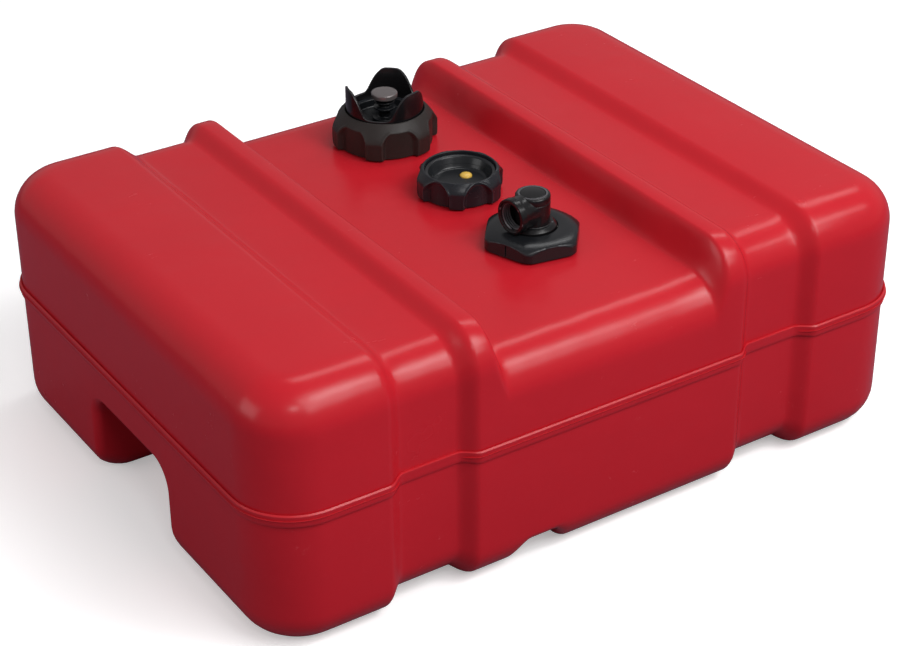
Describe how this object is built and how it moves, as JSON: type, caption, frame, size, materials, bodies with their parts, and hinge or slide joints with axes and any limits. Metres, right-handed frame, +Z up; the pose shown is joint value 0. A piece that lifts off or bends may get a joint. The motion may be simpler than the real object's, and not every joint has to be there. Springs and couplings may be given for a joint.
{
  "type": "portable outboard fuel tank",
  "caption": "Moulded portable fuel tank with strap channels and hand holds, a vented screw filler cap, a float gauge and a swivelling pickup elbow with a check valve.",
  "frame": {"origin": "on the floor under the middle of the tank", "axes": "+X along the tank's length, +Y towards the filler cap, +Z up"},
  "size_m": [0.6188, 0.4658, 0.2496],
  "materials": {
    "red_plastic": "blow-moulded, semi-gloss, fine orange-peel",
    "warm_black_plastic": "moulded, matte, faintly brown",
    "glossy_black_plastic": "moulded, glossy",
    "black_plastic": "moulded, satin",
    "blue_black_plastic": "moulded, satin, faintly blue",
    "grey_plastic": "moulded, polished",
    "white_plastic": "moulded, natural",
    "seal_rubber": "soft, fuel-proof",
    "clear_lens": "clear moulded plastic",
    "yellow_marker": "printed, bright",
    "float_foam": "closed-cell foam",
    "strip_steel": "bright drawn",
    "spring_steel": "bright wire",
    "seat_brass": "turned",
    "filter_mesh": "woven filter gauze"
  },
  "bodies": {
    "tank": {"tank_shell": "red_plastic", "gauge_head": "black_plastic", "gauge_lens": "clear_lens", "gauge_gasket": "seal_rubber", "guide_rod_left": "strip_steel", "guide_rod_right": "strip_steel", "gauge_foot": "white_plastic"},
    "filler_seal": {"filler_cap_gasket": "seal_rubber"},
    "filler_cap": {"filler_cap_shell": "warm_black_plastic", "filler_guard_crown": "glossy_black_plastic", "filler_inner_cap": "black_plastic", "vent_valve_cage": "black_plastic", "vent_valve_spring": "spring_steel"},
    "vent_valve": {"vent_valve_disc": "seal_rubber"},
    "vent_seal": {"vent_o_ring": "seal_rubber"},
    "vent": {"vent_screw": "black_plastic", "vent_knob": "grey_plastic"},
    "gauge_slip": {"gauge_slip_ring": "white_plastic"},
    "gauge_ring": {"gauge_collar": "blue_black_plastic"},
    "float": {"gauge_float": "float_foam", "float_drive_plate": "white_plastic"},
    "spindle": {"gauge_spindle": "strip_steel", "gauge_dial": "black_plastic", "dial_marker": "yellow_marker"},
    "pickup_seals": {"pickup_gasket": "seal_rubber", "pickup_slip_ring": "white_plastic"},
    "pickup_ring": {"pickup_collar": "black_plastic"},
    "pickup": {"pickup_elbow": "glossy_black_plastic", "pickup_top_cap": "glossy_black_plastic", "check_valve_seat": "seat_brass", "pickup_tube": "white_plastic", "pickup_screen": "filter_mesh", "check_spring": "spring_steel"},
    "check_valve": {"check_ball": "spring_steel"}
  },
  "joints": [
    {"name": "filler_cap_lift", "type": "slide", "parent": "tank", "child": "filler_seal", "axis": [0, 0, 1], "range_m": [0, 0.00901]},
    {"name": "filler_cap_turn", "type": "hinge", "parent": "filler_seal", "child": "filler_cap", "pos_m": [0.022, 0.137, 0.195], "axis": [0, 0, 1], "range_deg": [0, 540]},
    {"name": "vent_valve_slide", "type": "slide", "parent": "filler_cap", "child": "vent_valve", "axis": [0, 0, 1], "range_m": [-0.0025, 0], "stiffness_N_per_m": 60, "springref_m": 0.002, "deforming": ["vent_valve_spring"]},
    {"name": "vent_lift", "type": "slide", "parent": "filler_cap", "child": "vent_seal", "axis": [0, 0, 1], "range_m": [0, 0.00301]},
    {"name": "vent_knob_turn", "type": "hinge", "parent": "vent_seal", "child": "vent", "pos_m": [0.022, 0.137, 0.235], "axis": [0, 0, 1], "range_deg": [0, 720]},
    {"name": "gauge_collar_lift", "type": "slide", "parent": "tank", "child": "gauge_slip", "axis": [0, 0, 1], "range_m": [0, 0.00601]},
    {"name": "gauge_collar_turn", "type": "hinge", "parent": "gauge_slip", "child": "gauge_ring", "pos_m": [0.022, 0.018, 0.195], "axis": [0, 0, 1], "range_deg": [0, 540]},
    {"name": "float_rise", "type": "slide", "parent": "tank", "child": "float", "axis": [0, 0, 1], "range_m": [0, 0.145]},
    {"name": "spindle_turn", "type": "hinge", "parent": "tank", "child": "spindle", "pos_m": [0.022, 0.018, 0.1], "axis": [0, 0, 1], "range_deg": [-240.1, 0]},
    {"name": "pickup_lift", "type": "slide", "parent": "tank", "child": "pickup_seals", "axis": [0, 0, 1], "range_m": [0, 0.00451]},
    {"name": "pickup_collar_turn", "type": "hinge", "parent": "pickup_seals", "child": "pickup_ring", "pos_m": [0.022, -0.087, 0.195], "axis": [0, 0, 1], "range_deg": [0, 540]},
    {"name": "elbow_swivel", "type": "hinge", "parent": "pickup_seals", "child": "pickup", "pos_m": [0.022, -0.087, 0.195], "axis": [0, 0, 1], "continuous": true},
    {"name": "check_ball_lift", "type": "slide", "parent": "pickup", "child": "check_valve", "axis": [0, 0, 1], "range_m": [0, 0.004], "stiffness_N_per_m": 50, "springref_m": -0.002, "deforming": ["check_spring"]}
  ],
  "couplings": [
    {"joint": "filler_cap_lift", "follows": "filler_cap_turn", "m_per_rad": 0.00095493},
    {"joint": "vent_lift", "follows": "vent_knob_turn", "m_per_rad": 0.00023873},
    {"joint": "gauge_collar_lift", "follows": "gauge_collar_turn", "m_per_rad": 0.00063662},
    {"joint": "pickup_lift", "follows": "pickup_collar_turn", "m_per_rad": 0.00047746},
    {"joint": "spindle_turn", "follows": "float_rise", "rad_per_m": -28.888}
  ]
}
